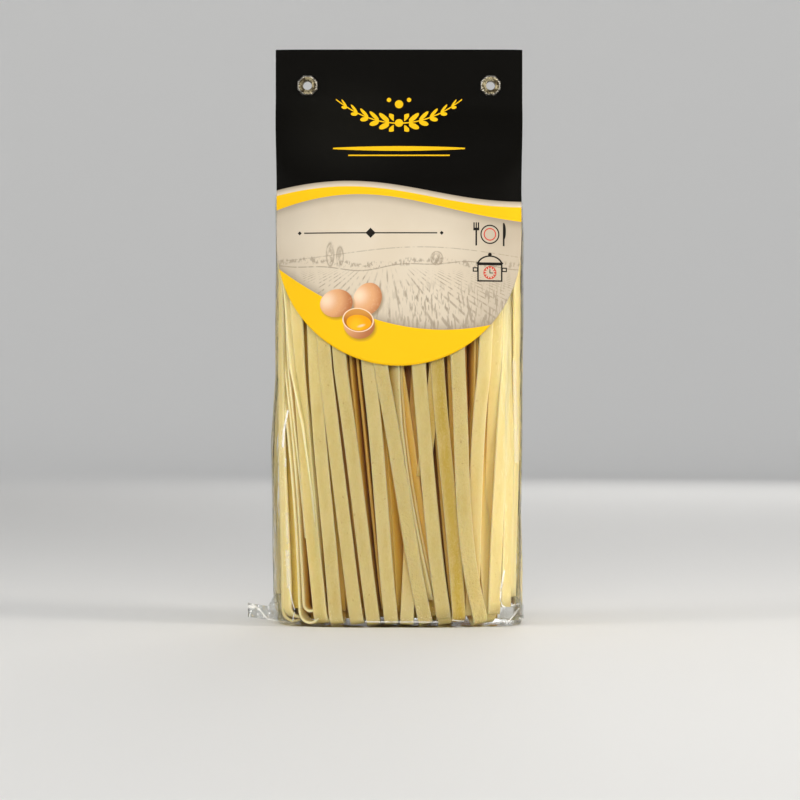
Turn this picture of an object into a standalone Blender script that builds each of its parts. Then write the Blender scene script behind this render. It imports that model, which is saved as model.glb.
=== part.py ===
"""A clear gusseted bag of long tagliatelle, closed by a folded header card and two brass eyelets.

Units are metres and +Z is up. The bag stands on its folded bottom, its printed front faces -Y,
and the origin is the middle of the flat base. The noodles hung to dry over a rod, so each one
is bent double and stands with its bend at the foot of the bag.
"""
import math
import random

import bmesh
import bpy
from mathutils import Vector

MM = 0.001

# Bag, measured over the film
HALF_WIDTH = 56.0 * MM
FOOT_HALF_WIDTH = 54.6 * MM
FOOT_DRAW_HEIGHT = 90.0 * MM
HALF_DEPTH = 27.5 * MM
BODY_ROUNDNESS = 3.0
SHOULDER_Z = 197.0 * MM
FLAT_TOP_Z = 237.0 * MM
BAG_TOP_Z = 261.0 * MM
TOP_HALF_WIDTH = 53.5 * MM
TOP_HALF_THICKNESS = 0.6 * MM
TOP_ROUNDNESS = 7.0
GUSSET_DEPTH = 13.0 * MM
GUSSET_START = 0.80
GUSSET_FULL = 0.96
RING_POINTS = 40
GABLE_STEPS = 7
BODY_LEVELS = (50.0 * MM, 95.0 * MM, 140.0 * MM, 184.0 * MM)

# Core that the noodles are fused on
CORE_INSET = 2.4 * MM
FOOT_INSET = 6.5 * MM
FOOT_RISE = 7.0 * MM

# Noodles
NOODLE_WIDTH = 6.2 * MM
NOODLE_THICKNESS = 1.3 * MM
NOODLE_TOP_Z = 194.0 * MM
BEND_RADIUS = 4.6 * MM
BEND_STEPS = 7
FLOOR_GAP = 0.3 * MM
NOODLE_PITCH = 7.5 * MM
NOODLE_LEVELS = (0.0, 0.22, 0.45, 0.68, 0.88, 1.0)
TAIL = 4.0 * MM
WIDTH_SPREAD = (0.96, 1.04)
SWAY = 0.5 * MM
SWAY_LENGTH = 38.0 * MM
SWAY_FADE = 60.0 * MM

# Front noodles as the photo shows them: middle at the card's lower edge, middle at the foot, and
# how far the noodle lies behind the film. The two heights are where those middles are read.
READ_TOP_Z = 118.0 * MM
READ_FOOT_Z = 4.0 * MM
FRONT_NOODLES = (
    (-45.0, -34.5, 0.0),
    (-37.4, -27.2, 0.6),
    (-32.0, -17.8, 0.0),
    (-25.2, -10.0, 0.3),
    (-13.5, -2.8, 0.6),
    (-7.6, 13.5, 0.0),
    (3.0, 17.5, 1.2),
    (9.2, 21.4, 0.0),
    (17.6, 28.4, 0.8),
    (27.4, 37.5, 0.0),
    (38.7, 33.0, 1.2),
    (44.5, 39.9, 0.9),
    (49.5, 45.2, 0.0),
)
SIDE_AND_BACK_LEAN = 9.0 * MM
SIDE_AND_BACK_INSETS = (0.0, 0.0, 0.3 * MM, 0.8 * MM, 1.2 * MM)

# The two ends of the crimped bottom seam, which stick out beside the foot. The left one stands
# free, and the right one is folded in, so only its tip shows and it is fused to the bag.
END_THICKNESS = 1.0 * MM
END_WAVE = 1.3 * MM
END_Y = -2.0 * MM
END_LEAN = 3.0 * MM
END_COLUMNS = 8
END_ROWS = 3
END_NECK_Z = 7.2 * MM
END_NECK_SHARE = 0.35
END_TIP_SHARE = 0.70
LEFT_END = {"reach": -69.3 * MM, "root": -55.7 * MM, "low": 2.2 * MM, "high": 9.2 * MM, "rise": 13.7 * MM}
RIGHT_END = {"reach": 57.2 * MM, "root": 47.0 * MM, "low": 1.0 * MM, "high": 8.4 * MM, "rise": 13.0 * MM}

# Between solids of different nodes that rest on each other
PIECE_GAP = 0.3 * MM

# Header card, folded over the top
CARD_TOP_Z = 264.0 * MM
CARD_THICKNESS = 0.45 * MM
CARD_CLEARANCE = 0.4 * MM
SHOULDER_STAND_OFF = 1.3 * MM
SHOULDER_REACH = 30.0 * MM
CARD_TOP_HALF_WIDTH = 56.7 * MM
CARD_ARC_RADIUS = 55.2 * MM
CARD_LOW_Z = 118.0 * MM
CARD_EXTRA_WIDTH = 4.2 * MM
CARD_COLUMNS = 18
LEVEL_ROWS = tuple(z * MM for z in (263.0, 255.5, 247.2, 237.0, 229.0, 221.0, 213.0, 205.5))
FIELD_STEPS = 5
FOOT_STEPS = 5
FOLD_STEPS = 3

# Printed wave on the card: crest height, position and half wavelength, and its yellow band
WAVE_MIDDLE_Z = 196.8 * MM
WAVE_HEIGHT = 4.5 * MM
WAVE_CREST_X = -23.0 * MM
WAVE_HALF_LENGTH = 73.0 * MM
PALE_BAND = 2.5 * MM
YELLOW_BAND = 3.2 * MM
YELLOW_BAND_GROWTH = 1.1
SWEEP_LOW_Z = 134.3 * MM
SWEEP_LOW_X = 20.0 * MM
SWEEP_GROWTH = 5.0
CARD_PRINTS = ("black print", "cream print", "yellow print")
BLACK, CREAM, YELLOW = range(3)

# Eyelets
EYELET_X = 42.1 * MM
EYELET_Z = 247.2 * MM
EYELET_RADIUS = 4.7 * MM
EYELET_BORE_RADIUS = 2.0 * MM
EYELET_BARREL_RADIUS = 2.5 * MM
EYELET_HOLE_RADIUS = 3.0 * MM
EYELET_FLANGE = 1.1 * MM
EYELET_LIP = 0.5 * MM
EYELET_SEAT_GAP = 0.3 * MM
EYELET_STEPS = 20
CUTTER_LENGTH = 20.0 * MM

SHARP_ANGLE = math.radians(35.0)

COLOURS = {
    "dry egg pasta": ((0.80, 0.64, 0.27), 0.62, 0.0),
    "clear film": ((0.82, 0.84, 0.82), 0.10, 0.0),
    "black print": ((0.008, 0.008, 0.007), 0.45, 0.0),
    "cream print": ((0.78, 0.68, 0.52), 0.55, 0.0),
    "yellow print": ((0.97, 0.62, 0.015), 0.50, 0.0),
    "antique brass": ((0.36, 0.29, 0.16), 0.38, 1.0),
}


def clear_scene():
    for old in list(bpy.data.objects):
        bpy.data.objects.remove(old, do_unlink=True)


def new_collection(name, parent=None):
    collection = bpy.data.collections.new(name)
    (parent or bpy.context.scene.collection).children.link(collection)
    return collection


def material(name):
    found = bpy.data.materials.get(name)
    if found:
        return found
    colour, roughness, metallic = COLOURS[name]
    made = bpy.data.materials.new(name)
    made.use_nodes = True
    shader = made.node_tree.nodes["Principled BSDF"]
    shader.inputs["Base Color"].default_value = (*colour, 1.0)
    shader.inputs["Roughness"].default_value = roughness
    shader.inputs["Metallic"].default_value = metallic
    made.diffuse_color = (*colour, 1.0)
    return made


def object_from_bmesh(name, bm, collection, *material_names):
    mesh = bpy.data.meshes.new(name)
    bm.to_mesh(mesh)
    bm.free()
    for material_name in material_names:
        mesh.materials.append(material(material_name))
    mesh.shade_smooth()
    mesh.set_sharp_from_angle(angle=SHARP_ANGLE)
    made = bpy.data.objects.new(name, mesh)
    collection.objects.link(made)
    return made


def apply_modifiers(obj):
    graph = bpy.context.evaluated_depsgraph_get()
    baked = bpy.data.meshes.new_from_object(obj.evaluated_get(graph), depsgraph=graph)
    obj.modifiers.clear()
    obj.data = baked


def ramp(value):
    """0 to 1 with level ends."""
    value = min(max(value, 0.0), 1.0)
    return value * value * (3.0 - 2.0 * value)


def mix(a, b, share):
    return a + (b - a) * share


def bag_section(z):
    """Half width, half depth, roundness and gusset depth of the film at height z."""
    draw = ramp(z / FOOT_DRAW_HEIGHT)
    half_width = mix(FOOT_HALF_WIDTH, HALF_WIDTH, draw)
    gable = (z - SHOULDER_Z) / (FLAT_TOP_Z - SHOULDER_Z)
    gable = min(max(gable, 0.0), 1.0)
    eased = mix(gable, ramp(gable), 0.5)
    half_width = mix(half_width, TOP_HALF_WIDTH, eased)
    half_depth = mix(HALF_DEPTH, TOP_HALF_THICKNESS, eased)
    roundness = mix(BODY_ROUNDNESS, TOP_ROUNDNESS, eased)
    gusset = GUSSET_DEPTH * math.sin(math.pi * gable)
    return half_width, half_depth, roundness, gusset


def superellipse(half_width, half_depth, roundness, angle):
    """The point of a rounded rectangle at that angle, where 0 is +X and a quarter turn is +Y."""
    c, s = math.cos(angle), math.sin(angle)
    x = math.copysign(half_width * abs(c) ** (2.0 / roundness), c)
    y = math.copysign(half_depth * abs(s) ** (2.0 / roundness), s)
    return x, y


def ring_length_table(steps=720):
    """Angles round the bag's body and the length along the film up to each, from -X over the front."""
    angles = [-math.pi + 2.0 * math.pi * i / steps for i in range(steps + 1)]
    points = [Vector(superellipse(HALF_WIDTH, HALF_DEPTH, BODY_ROUNDNESS, a)) for a in angles]
    lengths = [0.0]
    for before, after in zip(points, points[1:]):
        lengths.append(lengths[-1] + (after - before).length)
    return angles, lengths


ANGLES, LENGTHS = ring_length_table()
GIRTH = LENGTHS[-1]


def angle_at(length):
    """The ring angle that many metres along the film, by bisection."""
    length %= GIRTH
    low, high = 0, len(LENGTHS) - 1
    while high - low > 1:
        middle = (low + high) // 2
        if LENGTHS[middle] > length:
            high = middle
        else:
            low = middle
    share = (length - LENGTHS[low]) / max(LENGTHS[high] - LENGTHS[low], 1e-9)
    return mix(ANGLES[low], ANGLES[high], share)


def front_length(x):
    """The length along the film of the front point with that x."""
    share = min(max(x / HALF_WIDTH, -0.999), 0.999)
    angle = -math.acos(math.copysign(abs(share) ** (BODY_ROUNDNESS / 2.0), share))
    place = (angle + math.pi) / (2.0 * math.pi) * (len(ANGLES) - 1)
    low = min(int(place), len(ANGLES) - 2)
    return mix(LENGTHS[low], LENGTHS[low + 1], place - low)


def skin_frame(length, z, inset):
    """A point that far under the film, and the film's outward normal there."""
    half_width, half_depth, roundness, _ = bag_section(min(z, SHOULDER_Z))
    step = 0.6 * MM
    here, after = (
        Vector(superellipse(half_width, half_depth, roundness, angle_at(length + offset)))
        for offset in (0.0, step)
    )
    along = (after - here).normalized()
    normal = Vector((along.y, -along.x, 0.0))
    return Vector((here.x, here.y, z)) - normal * inset, normal


def strip_mesh(path, faces_out, width_axes, width):
    """A closed box-section strip along a path, with its broad faces square to faces_out."""
    bm = bmesh.new()
    rows = []
    for point, out, across in zip(path, faces_out, width_axes):
        corners = ((-1, -1), (1, -1), (1, 1), (-1, 1))
        rows.append([
            bm.verts.new(point + across * (i * width / 2.0) + out * (j * NOODLE_THICKNESS / 2.0))
            for i, j in corners
        ])
    for before, after in zip(rows, rows[1:]):
        for k in range(4):
            bm.faces.new((before[k], before[(k + 1) % 4], after[(k + 1) % 4], after[k]))
    bm.faces.new(rows[0][::-1])
    bm.faces.new(rows[-1])
    bmesh.ops.recalc_face_normals(bm, faces=bm.faces)
    return bm


def noodle(name, top_length, foot_length, inset, width, phase, collection):
    """One doubled noodle: down under the film, round its bend, and back up inside the core."""
    depth = inset + NOODLE_THICKNESS / 2.0
    lean = abs(foot_length - top_length) / (READ_TOP_Z - READ_FOOT_Z)
    bend_z = FLOOR_GAP + NOODLE_THICKNESS / 2.0 + BEND_RADIUS + lean * width / 2.0
    heights = [mix(NOODLE_TOP_Z, bend_z, share) for share in NOODLE_LEVELS]
    path, out = [], []
    for z in heights:
        share = (READ_TOP_Z - z) / (READ_TOP_Z - READ_FOOT_Z)
        sway = SWAY * math.sin(phase + z / SWAY_LENGTH) * ramp((z - bend_z) / SWAY_FADE)
        point, normal = skin_frame(mix(top_length, foot_length, share) + sway, z, depth)
        path.append(point)
        out.append(normal)
    down = (path[-1] - path[-2]).normalized()
    across = down.cross(out[-1]).normalized()
    inwards = -across.cross(down).normalized()
    if inwards.dot(out[-1]) > 0.0:
        inwards.negate()
    centre = path[-1] + inwards * BEND_RADIUS
    for i in range(1, BEND_STEPS + 1):
        turn = math.pi * i / BEND_STEPS
        radial = -inwards * math.cos(turn) + down * math.sin(turn)
        path.append(centre + radial * BEND_RADIUS)
        out.append(radial)
    path.append(path[-1] - down * TAIL)
    out.append(out[-1])
    across_axes = []
    for i, normal in enumerate(out):
        before, after = path[max(i - 1, 0)], path[min(i + 1, len(path) - 1)]
        if i >= len(heights) - 1:
            across_axes.append(across)
        else:
            across_axes.append((after - before).cross(normal).normalized())
    bm = strip_mesh(path, out, across_axes, width)
    return object_from_bmesh(name, bm, collection, "dry egg pasta")


def all_noodles(collection):
    rng = random.Random(7)
    made = []
    first_front, last_front = None, None
    for i, (top_x, foot_x, inset) in enumerate(FRONT_NOODLES):
        top, foot = front_length(top_x * MM), front_length(foot_x * MM)
        width = NOODLE_WIDTH * rng.uniform(*WIDTH_SPREAD)
        phase = rng.uniform(0.0, 2.0 * math.pi)
        made.append(noodle(f"front_noodle_{i}", top, foot, inset * MM, width, phase, collection))
        first_front = first_front or (top, foot)
        last_front = (top, foot)
    room_top = GIRTH - last_front[0] + first_front[0]
    room_foot = GIRTH - last_front[1] + first_front[1]
    count = round(min(room_top, room_foot) / NOODLE_PITCH) - 1
    for i in range(1, count + 1):
        share = i / (count + 1)
        lean = rng.uniform(-0.5, 0.5) * SIDE_AND_BACK_LEAN
        top = last_front[0] + room_top * share - lean / 2.0
        foot = last_front[1] + room_foot * share + lean / 2.0
        inset = rng.choice(SIDE_AND_BACK_INSETS)
        width = NOODLE_WIDTH * rng.uniform(*WIDTH_SPREAD)
        phase = rng.uniform(0.0, 2.0 * math.pi)
        made.append(noodle(f"back_noodle_{i}", top, foot, inset, width, phase, collection))
    return made


def ring(bm, z, inset):
    half_width, half_depth, roundness, gusset = bag_section(z)
    half_width -= inset
    half_depth -= inset
    verts = []
    for i in range(RING_POINTS):
        x, y = superellipse(half_width, half_depth, roundness, 2.0 * math.pi * i / RING_POINTS)
        side = ramp((abs(x) / half_width - GUSSET_START) / (GUSSET_FULL - GUSSET_START))
        x -= math.copysign(gusset * side * (1.0 - abs(y) / half_depth), x)
        verts.append(bm.verts.new((x, y, z)))
    return verts


def loft(name, levels, collection, material_name):
    """A closed solid through the bag's rings. Each level is a height and an inset from the film."""
    bm = bmesh.new()
    rings = [ring(bm, z, inset) for z, inset in levels]
    for low, high in zip(rings, rings[1:]):
        for i in range(RING_POINTS):
            j = (i + 1) % RING_POINTS
            bm.faces.new((low[i], low[j], high[j], high[i]))
    bm.faces.new(rings[0][::-1])
    bm.faces.new(rings[-1])
    bmesh.ops.recalc_face_normals(bm, faces=bm.faces)
    return object_from_bmesh(name, bm, collection, material_name)


def bag_core(name, collection):
    """The filled body up to the shoulder, a little smaller than the film, for the noodles to join."""
    levels = [(0.0, FOOT_INSET), (FOOT_RISE * 0.2, mix(FOOT_INSET, CORE_INSET, 0.55))]
    levels += [(FOOT_RISE, CORE_INSET)]
    levels += [(z, CORE_INSET) for z in BODY_LEVELS]
    levels += [(mix(BODY_LEVELS[-1], SHOULDER_Z, 0.5), CORE_INSET * 0.5), (SHOULDER_Z - PIECE_GAP, 0.0)]
    return loft(name, levels, collection, "dry egg pasta")


def bag_top(parts, cutters):
    """The film above the noodles: a gable with its side gussets folded in, and the flat neck that
    the card's two leaves hold between them."""
    levels = [(mix(SHOULDER_Z, FLAT_TOP_Z, i / GABLE_STEPS), 0.0) for i in range(GABLE_STEPS + 1)]
    levels += [(BAG_TOP_Z, 0.0)]
    cut(loft("bag_top", levels, parts, "clear film"), cutters)


def seam_end(name, sizes, collection):
    """One end of the crimped bottom seam, a crumpled flag of film beside the foot. It is highest
    where it leaves the bag, has a neck, and rises again to its free edge."""
    bm = bmesh.new()
    grid = []
    side = math.copysign(1.0, sizes["reach"])
    bag_x = side * FOOT_HALF_WIDTH
    for i in range(END_COLUMNS + 1):
        out = i / END_COLUMNS
        x = mix(sizes["root"], sizes["reach"], out)
        beside = (x - bag_x) / (sizes["reach"] - bag_x)
        neck = mix(sizes["rise"], END_NECK_Z, ramp(beside / END_NECK_SHARE))
        high = mix(neck, sizes["high"], ramp((beside - END_TIP_SHARE) / (1.0 - END_TIP_SHARE)))
        low = mix(END_THICKNESS, sizes["low"], ramp(beside))
        column = []
        for j in range(END_ROWS + 1):
            up = j / END_ROWS
            wave = END_WAVE * out * math.sin(2.2 * i + side * 1.7 * j)
            lean = END_LEAN * out * (0.5 - up)
            column.append(bm.verts.new((x, END_Y + wave - lean, mix(low, high, up))))
        grid.append(column)
    for left, right in zip(grid, grid[1:]):
        for j in range(END_ROWS):
            bm.faces.new((left[j], right[j], right[j + 1], left[j + 1]))
    bmesh.ops.recalc_face_normals(bm, faces=bm.faces)
    made = object_from_bmesh(name, bm, collection, "clear film")
    solid = made.modifiers.new("film folds", "SOLIDIFY")
    solid.thickness = END_THICKNESS
    solid.offset = 0.0
    return made


def eyelet_cutters(collection):
    cutters = []
    for side in (-1, 1):
        bm = bmesh.new()
        bmesh.ops.create_cone(
            bm, cap_ends=True, segments=EYELET_STEPS, radius1=EYELET_HOLE_RADIUS,
            radius2=EYELET_HOLE_RADIUS, depth=CUTTER_LENGTH,
        )
        made = object_from_bmesh(f"eyelet_hole_{side}", bm, collection)
        made.rotation_euler = (math.radians(90.0), 0.0, 0.0)
        made.location = (side * EYELET_X, 0.0, EYELET_Z)
        made.hide_render = True
        made.display_type = "WIRE"
        cutters.append(made)
    return cutters


def cut(obj, cutters):
    for cutter in cutters:
        modifier = obj.modifiers.new(cutter.name, "BOOLEAN")
        modifier.operation = "DIFFERENCE"
        modifier.solver = "EXACT"
        modifier.object = cutter


def pasta_bag(parts, helpers):
    core = bag_core("pasta_bag", parts)
    pieces = new_collection("noodles and seam end", helpers)
    right_end = seam_end("right_seam_end", RIGHT_END, pieces)
    bpy.context.view_layer.update()
    apply_modifiers(right_end)
    fused = all_noodles(pieces) + [right_end]
    union = core.modifiers.new("noodles and seam end", "BOOLEAN")
    union.operation = "UNION"
    union.operand_type = "COLLECTION"
    union.collection = pieces
    union.solver = "EXACT"
    union.material_mode = "TRANSFER"
    bpy.context.view_layer.update()
    apply_modifiers(core)
    for piece in fused:
        bpy.data.objects.remove(piece, do_unlink=True)
    bpy.data.collections.remove(pieces)


def card_half_width(z):
    """The card's outline, seen from the front: straight sides on a half circle."""
    arc_z = CARD_LOW_Z + CARD_ARC_RADIUS
    if z >= arc_z:
        return mix(CARD_ARC_RADIUS, CARD_TOP_HALF_WIDTH, ramp((z - SHOULDER_Z) / (FLAT_TOP_Z - SHOULDER_Z)))
    return math.sqrt(max(CARD_ARC_RADIUS ** 2 - (arc_z - z) ** 2, 0.0))


def card_y(x, z):
    """How far the inner face of a leaf lies from the middle plane at that place. The card bends
    softly over the shoulder, so it stands a little off the bag there."""
    half_width, half_depth, roundness, _ = bag_section(z)
    spread = half_width + CARD_EXTRA_WIDTH
    clearance = CARD_CLEARANCE + SHOULDER_STAND_OFF * (1.0 - ramp(abs(z - SHOULDER_Z) / SHOULDER_REACH))
    return half_depth * max(1.0 - abs(x / spread) ** roundness, 0.0) ** (1.0 / roundness) + clearance


def wave_z(x):
    """Lower edge of the black field."""
    return WAVE_MIDDLE_Z + WAVE_HEIGHT * math.cos(math.pi * (x - WAVE_CREST_X) / WAVE_HALF_LENGTH)


def band_top_z(x):
    return wave_z(x) - PALE_BAND


def band_low_z(x):
    return band_top_z(x) - YELLOW_BAND - YELLOW_BAND_GROWTH * x * x


def sweep_z(x):
    """Upper edge of the yellow field at the card's round foot."""
    return SWEEP_LOW_Z + SWEEP_GROWTH * (x - SWEEP_LOW_X) ** 2


def outline_z(x):
    return CARD_LOW_Z + CARD_ARC_RADIUS - math.sqrt(max(CARD_ARC_RADIUS ** 2 - x * x, 0.0))


def row_end(row_z, side):
    """Where a row that follows row_z(x) meets the outline on that side."""
    low, high = 0.0, CARD_TOP_HALF_WIDTH
    for _ in range(40):
        middle = (low + high) / 2.0
        if middle < card_half_width(row_z(side * middle)):
            low = middle
        else:
            high = middle
    return side * low


def blend_rows(first, second, share):
    return lambda x: mix(first(x), second(x), share)


def card_rows():
    """The rows of a leaf from its top down: a height function and the print below the row."""
    rows = [(lambda x, z=z: z, BLACK) for z in LEVEL_ROWS]
    rows += [(wave_z, CREAM), (band_top_z, YELLOW)]
    rows += [(blend_rows(band_low_z, sweep_z, i / FIELD_STEPS), CREAM) for i in range(FIELD_STEPS)]
    rows += [(blend_rows(sweep_z, outline_z, i / FOOT_STEPS), YELLOW) for i in range(FOOT_STEPS + 1)]
    return rows


def column_shares():
    """Places across a row, spaced so that the round foot has even sides."""
    left, right = row_end(sweep_z, -1), row_end(sweep_z, 1)
    first = math.acos(-left / CARD_ARC_RADIUS)
    last = math.acos(-right / CARD_ARC_RADIUS)
    turns = [mix(first, last, i / CARD_COLUMNS) for i in range(CARD_COLUMNS + 1)]
    return [(-CARD_ARC_RADIUS * math.cos(turn) - left) / (right - left) for turn in turns]


def leaf_rows(side):
    """The points of the front leaf for side -1, or of the back leaf for 1, from the fold down."""
    shares = column_shares()
    sweep_ends = row_end(sweep_z, -1), row_end(sweep_z, 1)
    found = []
    for row_z, field in card_rows():
        foot = field == YELLOW and row_z is not band_top_z
        left, right = sweep_ends if foot else (row_end(row_z, -1), row_end(row_z, 1))
        points = []
        for share in shares:
            x = mix(left, right, share)
            z = row_z(x)
            points.append((x, side * card_y(x, z), z))
        found.append((points, field))
    return found


def header_card(parts, cutters):
    front, back = leaf_rows(-1), leaf_rows(1)
    top_points = front[0][0]
    fold = []
    for i in range(1, FOLD_STEPS):
        turn = math.pi * i / FOLD_STEPS
        rise = (CARD_TOP_Z - CARD_THICKNESS - top_points[0][2]) * math.sin(turn)
        fold.append([(x, y * math.cos(turn), z + rise) for x, y, z in top_points])
    rows = [(points, field) for points, field in reversed(front)]
    prints = [field for _, field in rows[1:]] + [BLACK] * FOLD_STEPS + [field for _, field in back[:-1]]
    rows = [points for points, _ in rows] + fold + [points for points, _ in back]
    bm = bmesh.new()
    grid = [[bm.verts.new(point) for point in row] for row in rows]
    for (low, high), field in zip(zip(grid, grid[1:]), prints):
        for i in range(CARD_COLUMNS):
            face = bm.faces.new((low[i], low[i + 1], high[i + 1], high[i]))
            face.material_index = field
    bmesh.ops.remove_doubles(bm, verts=bm.verts, dist=0.01 * MM)
    bmesh.ops.dissolve_degenerate(bm, edges=bm.edges, dist=0.005 * MM)
    made = object_from_bmesh("header_card", bm, parts, *CARD_PRINTS)
    board = made.modifiers.new("board", "SOLIDIFY")
    board.thickness = CARD_THICKNESS
    board.offset = 1.0
    cut(made, cutters)
    return made


def eyelet(name, x, parts):
    """A turned brass eyelet: a bore, a barrel through the card, and a rolled flange on each side.
    The closed profile stands at +X and is turned round Z, and the object is then tipped to the front."""
    seat = TOP_HALF_THICKNESS + CARD_CLEARANCE + CARD_THICKNESS + EYELET_SEAT_GAP
    crown = seat + EYELET_FLANGE
    lip = EYELET_BORE_RADIUS + EYELET_LIP
    half = [
        (EYELET_BARREL_RADIUS, 0.0),
        (EYELET_BARREL_RADIUS, seat),
        (EYELET_RADIUS - 0.2 * MM, seat),
        (EYELET_RADIUS, mix(seat, crown, 0.35)),
        (mix(lip, EYELET_RADIUS, 0.72), mix(seat, crown, 0.88)),
        (mix(lip, EYELET_RADIUS, 0.40), crown),
        (lip, mix(seat, crown, 0.78)),
        (EYELET_BORE_RADIUS, seat),
    ]
    profile = list(reversed(half)) + [(r, -h) for r, h in half[1:]]
    bm = bmesh.new()
    verts = [bm.verts.new((r, 0.0, h)) for r, h in profile]
    for a, b in zip(verts, verts[1:] + verts[:1]):
        bm.edges.new((a, b))
    made = object_from_bmesh(name, bm, parts, "antique brass")
    turned = made.modifiers.new("turned", "SCREW")
    turned.axis = "Z"
    turned.angle = 2.0 * math.pi
    turned.steps = EYELET_STEPS
    turned.render_steps = EYELET_STEPS
    turned.use_merge_vertices = True
    turned.merge_threshold = 0.01 * MM
    turned.use_smooth_shade = True
    made.rotation_euler = (math.radians(90.0), 0.0, 0.0)
    made.location = (x, 0.0, EYELET_Z)
    return made


def main():
    clear_scene()
    parts = new_collection("bag of tagliatelle")
    helpers = new_collection("cutters")
    cutters = eyelet_cutters(helpers)
    pasta_bag(parts, helpers)
    bag_top(parts, cutters)
    seam_end("seam_end", LEFT_END, parts)
    header_card(parts, cutters)
    eyelet("eyelet_left", -EYELET_X, parts)
    eyelet("eyelet_right", EYELET_X, parts)


main()
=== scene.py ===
import bpy
import numpy as np
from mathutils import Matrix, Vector


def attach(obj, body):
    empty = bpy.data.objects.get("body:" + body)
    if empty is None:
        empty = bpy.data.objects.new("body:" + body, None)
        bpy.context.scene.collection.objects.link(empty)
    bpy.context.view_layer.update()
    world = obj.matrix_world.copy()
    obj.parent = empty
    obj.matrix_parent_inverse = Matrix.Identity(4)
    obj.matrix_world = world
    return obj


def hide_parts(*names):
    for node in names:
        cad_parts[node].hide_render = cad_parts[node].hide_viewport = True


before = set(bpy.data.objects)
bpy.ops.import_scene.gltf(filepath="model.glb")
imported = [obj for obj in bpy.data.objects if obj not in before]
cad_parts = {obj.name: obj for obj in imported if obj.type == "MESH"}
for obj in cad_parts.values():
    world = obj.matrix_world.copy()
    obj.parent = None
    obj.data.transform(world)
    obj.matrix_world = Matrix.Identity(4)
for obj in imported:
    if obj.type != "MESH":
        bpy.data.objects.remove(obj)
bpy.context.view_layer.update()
print("frame loaded:", sorted(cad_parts))

bag = {
    "halfWidth": 56, "footHalfWidth": 54.6, "footDraw": 90, "halfDepth": 27.5, "roundness": 3,
    "shoulder": 197, "flatTop": 237, "top": 261, "topHalfWidth": 53.5, "topHalfDepth": 0.6,
    "topRoundness": 7, "gusset": 13, "gussetStart": 0.8, "gussetFull": 0.96,
}


# 0 to 1 with level ends: v * v * (3 - 2v), held between 0 and 1
def ease(v):
    v = np.clip(v, 0, 1)
    return v * v * (3 - 2 * v)


def mix(a, b, share):
    return a + (b - a) * share


# Half width, half depth, roundness and gusset depth of the film at height z
def bagSection(z):
    a = mix(bag["footHalfWidth"], bag["halfWidth"], ease(z / bag["footDraw"]))
    gable = np.clip((z - bag["shoulder"]) / (bag["flatTop"] - bag["shoulder"]), 0, 1)
    eased = mix(gable, ease(gable), 0.5)
    a = mix(a, bag["topHalfWidth"], eased)
    b = mix(bag["halfDepth"], bag["topHalfDepth"], eased)
    n = mix(bag["roundness"], bag["topRoundness"], eased)
    return a, b, n, bag["gusset"] * np.sin(np.pi * gable)


# Superellipse: x = a |cos|^(2/n), y = b |sin|^(2/n) with their signs, and 0 is +X
def ringPoint(angle, a, b, n):
    c, s = np.cos(angle), np.sin(angle)
    return np.sign(c) * a * np.abs(c) ** (2 / n), np.sign(s) * b * np.abs(s) ** (2 / n)


# Angle for each length along the body's film, counted from the middle of the front
ringAngles = np.linspace(-1.5 * np.pi, 0.5 * np.pi, 4001)
ringX, ringY = ringPoint(ringAngles, bag["halfWidth"], bag["halfDepth"], bag["roundness"])
ringLengths = np.concatenate([[0], np.cumsum(np.hypot(np.diff(ringX), np.diff(ringY)))])
girth = ringLengths[-1]
ringLengths -= np.interp(-0.5 * np.pi, ringAngles, ringLengths)


# How far a point lies under the film: (1 - q) over the slope of q, with q the superellipse's root sum
def depthUnder(points):
    a, b, n, _ = bagSection(np.minimum(points[..., 2], bag["shoulder"]))
    across, along = np.abs(points[..., 0]) / a, np.abs(points[..., 1]) / b
    q = np.maximum(across ** n + along ** n, 1e-6) ** (1 / n)
    slope = q ** (1 - n) * np.hypot(across ** (n - 1) / a, along ** (n - 1) / b)
    return (1 - q) / np.maximum(slope, 1e-6)


def unit(v):
    return v / np.maximum(np.linalg.norm(v, axis=-1, keepdims=True), 1e-9)


# Outward normal of a level ring: the gradient of |x/a|^n + |y/b|^n, at unit length
def ringNormal(x, y, a, b, n):
    across, along = (np.sign(v) * np.abs(v / half) ** (n - 1) / half for v, half in ((x, a), (y, b)))
    return unit(np.stack([across, along, np.zeros_like(x)], -1))


# The point that far under the film, and the film's outward normal
def bagPoint(length, z, inset):
    wrapped = (length + girth / 2) % girth - girth / 2
    angle = np.interp(wrapped, ringLengths, ringAngles)
    a, b, n, _ = bagSection(np.minimum(z, bag["shoulder"]))
    x, y = ringPoint(angle, a, b, n)
    out = ringNormal(x, y, a, b, n)
    return np.stack([x, y, z], -1) - out * inset[..., None], out


# Sum of sine waves in seeded directions, about -1 to 1
def softNoise(u, v, seed, waves=7):
    rng = np.random.default_rng(seed)
    total = 0
    for _ in range(waves):
        turn, size, phase = rng.uniform(0, np.pi), rng.uniform(0.7, 2.4), rng.uniform(0, 2 * np.pi)
        total = total + np.sin(size * (u * np.cos(turn) + v * np.sin(turn)) + phase) / size
    return total / 2.2


# Sum of folded straight ramps, |((f (u cos + v sin) + p) mod 2) - 1|, so creases stay sharp: -1 to 1
def crumple(u, v, seed, folds=6):
    rng = np.random.default_rng(seed)
    total, weight = 0, 0
    for i in range(folds):
        turn, size, phase = rng.uniform(0, np.pi), rng.uniform(0.5, 1.2) * 1.45 ** i, rng.uniform(0, 2)
        ramp = np.abs(np.mod(size * (u * np.cos(turn) + v * np.sin(turn)) + phase, 2) - 1)
        total = total + (2 * ramp - 1) / size
        weight += 1 / size
    return total / weight


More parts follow.
